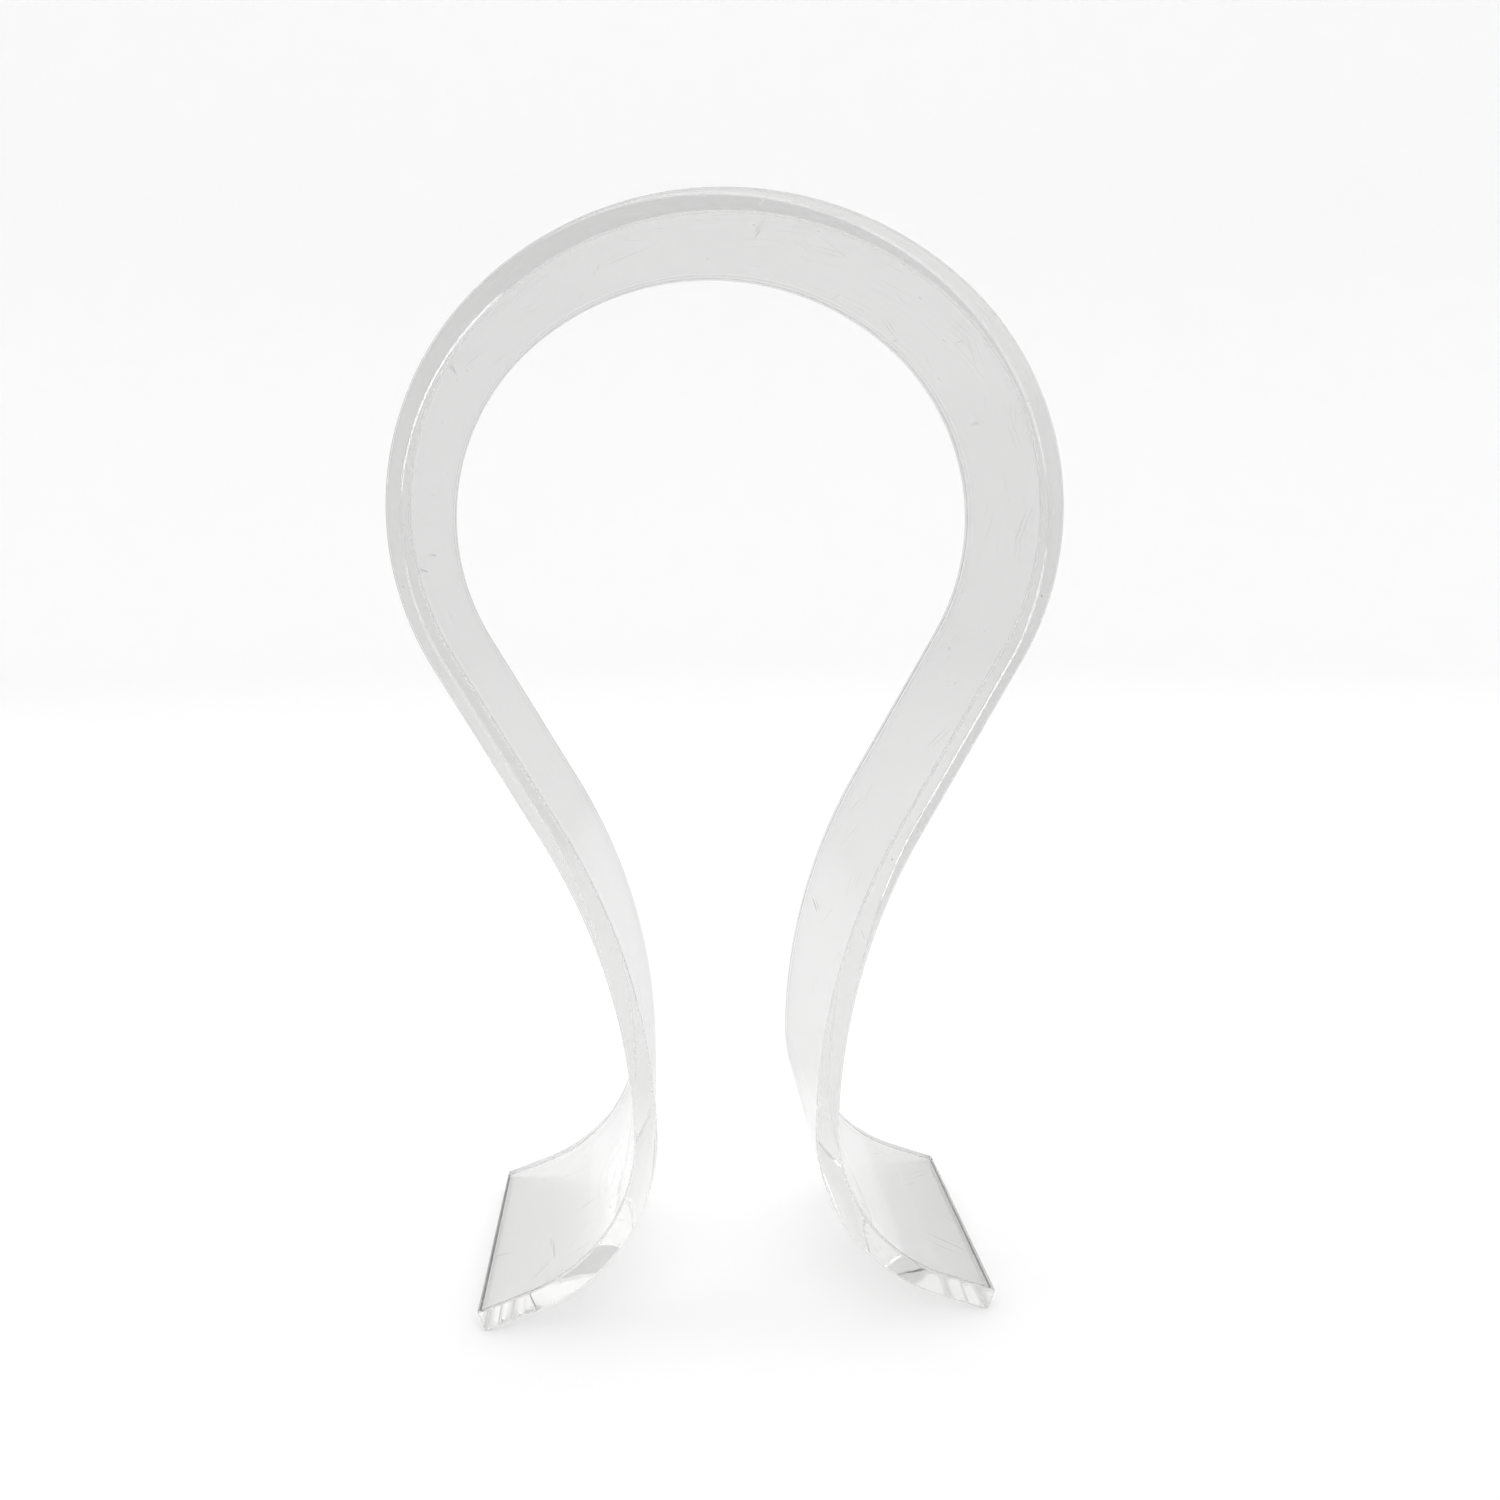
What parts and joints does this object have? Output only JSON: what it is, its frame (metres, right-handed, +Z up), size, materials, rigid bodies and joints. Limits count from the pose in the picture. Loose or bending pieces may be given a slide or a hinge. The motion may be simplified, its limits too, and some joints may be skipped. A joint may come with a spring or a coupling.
{
  "type": "headphone stand",
  "caption": "Free-standing headphone stand: a clear acrylic strip heat-bent into a keyhole-shaped arch that carries the headband, with a narrow neck and outward-curving feet.",
  "frame": {"origin": "on the table, at the centre of the bounding box: midway between the two feet and midway across the strip's width", "axes": "+Z up, through the crown; +Y across the strip's width, towards the back (the front edge is at -Y); +X to the right when seen from the front"},
  "size_m": [0.1392, 0.075, 0.24],
  "materials": {
    "clear_acrylic": "polished"
  },
  "bodies": {
    "root": {"bent_acrylic_strip": "clear_acrylic"}
  },
  "joints": []
}
